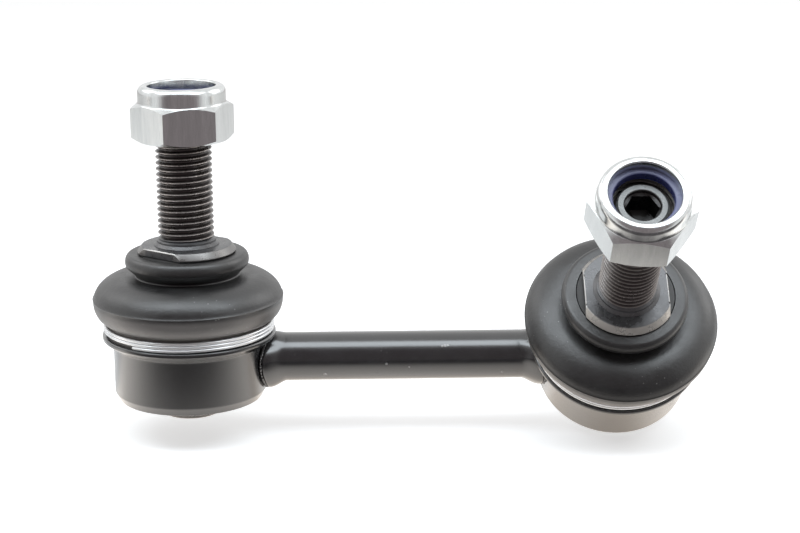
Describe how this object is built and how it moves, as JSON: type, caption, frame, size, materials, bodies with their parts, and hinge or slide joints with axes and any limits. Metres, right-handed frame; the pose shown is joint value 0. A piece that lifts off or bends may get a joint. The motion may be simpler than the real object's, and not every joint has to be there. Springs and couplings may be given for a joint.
{
  "type": "stabilizer link",
  "caption": "Short steel link rod with a booted ball joint at each end, each with a threaded stud and nylon lock nut, tying an anti-roll bar to a suspension arm.",
  "frame": {"origin": "centre of the left stud's seat, where its thread starts", "axes": "+Z along the left stud, away from its ball; +X along the rod, from the left ball joint to the right one"},
  "size_m": [0.1326, 0.0663, 0.0761],
  "materials": {
    "black_paint": "satin black paint",
    "boot_rubber": "matte moulded rubber",
    "stud_steel": "dark phosphated steel",
    "spring_wire": "bright drawn wire",
    "zinc_plate": "bright zinc plate",
    "nylon_blue": "moulded nylon",
    "seat_plastic": "moulded plastic"
  },
  "bodies": {
    "link": {"link_rod": "black_paint", "left_weld_bead": "black_paint", "left_housing": "black_paint", "left_ball_seat": "seat_plastic", "left_end_cap": "black_paint", "left_clamp_wire": "spring_wire", "right_weld_bead": "black_paint", "right_housing": "black_paint", "right_ball_seat": "seat_plastic", "right_end_cap": "black_paint", "right_clamp_wire": "spring_wire"},
    "left_boot": {"left_dust_boot": "boot_rubber"},
    "left_ring": {"left_neck_ring": "stud_steel"},
    "left_stud": {"left_ball_stud": "stud_steel"},
    "left_insert": {"left_nut_insert": "nylon_blue"},
    "left_nut": {"left_lock_nut": "zinc_plate"},
    "right_boot": {"right_dust_boot": "boot_rubber"},
    "right_ring": {"right_neck_ring": "stud_steel"},
    "right_stud": {"right_ball_stud": "stud_steel"},
    "right_insert": {"right_nut_insert": "nylon_blue"},
    "right_nut": {"right_lock_nut": "zinc_plate"}
  },
  "joints": [
    {"name": "left_lean_direction", "type": "hinge", "parent": "link", "child": "left_boot", "pos_m": [0, 0, -0.0234], "axis": [0, 0, 1], "continuous": true},
    {"name": "left_lean", "type": "hinge", "parent": "left_boot", "child": "left_ring", "pos_m": [0, 0, -0.0234], "axis": [1, 0, 0], "range_deg": [-20, 20], "deforming": ["left_dust_boot"]},
    {"name": "left_stud_spin", "type": "hinge", "parent": "left_ring", "child": "left_stud", "pos_m": [0, 0, -0.0234], "axis": [0, 0, 1], "continuous": true},
    {"name": "left_nut_travel", "type": "slide", "parent": "left_stud", "child": "left_insert", "axis": [0, 0, 1], "range_m": [-0.02, 0.03]},
    {"name": "left_nut_turn", "type": "hinge", "parent": "left_insert", "child": "left_nut", "pos_m": [0, 0, 0], "axis": [0, 0, 1], "range_deg": [-5760, 8640]},
    {"name": "right_lean_direction", "type": "hinge", "parent": "link", "child": "right_boot", "pos_m": [0.092, -0.00134, -0.02391], "axis": [0, -0.6691, 0.7431], "continuous": true},
    {"name": "right_lean", "type": "hinge", "parent": "right_boot", "child": "right_ring", "pos_m": [0.092, -0.00134, -0.02391], "axis": [1, 0, 0], "range_deg": [-20, 20], "deforming": ["right_dust_boot"]},
    {"name": "right_stud_spin", "type": "hinge", "parent": "right_ring", "child": "right_stud", "pos_m": [0.092, -0.00134, -0.02391], "axis": [0, -0.6691, 0.7431], "continuous": true},
    {"name": "right_nut_travel", "type": "slide", "parent": "right_stud", "child": "right_insert", "axis": [0, -0.6691, 0.7431], "range_m": [-0.02, 0.03]},
    {"name": "right_nut_turn", "type": "hinge", "parent": "right_insert", "child": "right_nut", "pos_m": [0.092, -0.017, -0.00652], "axis": [0, -0.6691, 0.7431], "range_deg": [-5760, 8640]}
  ],
  "couplings": [
    {"joint": "left_nut_travel", "follows": "left_nut_turn", "m_per_rad": 0.00019894},
    {"joint": "right_nut_travel", "follows": "right_nut_turn", "m_per_rad": 0.00019894}
  ]
}
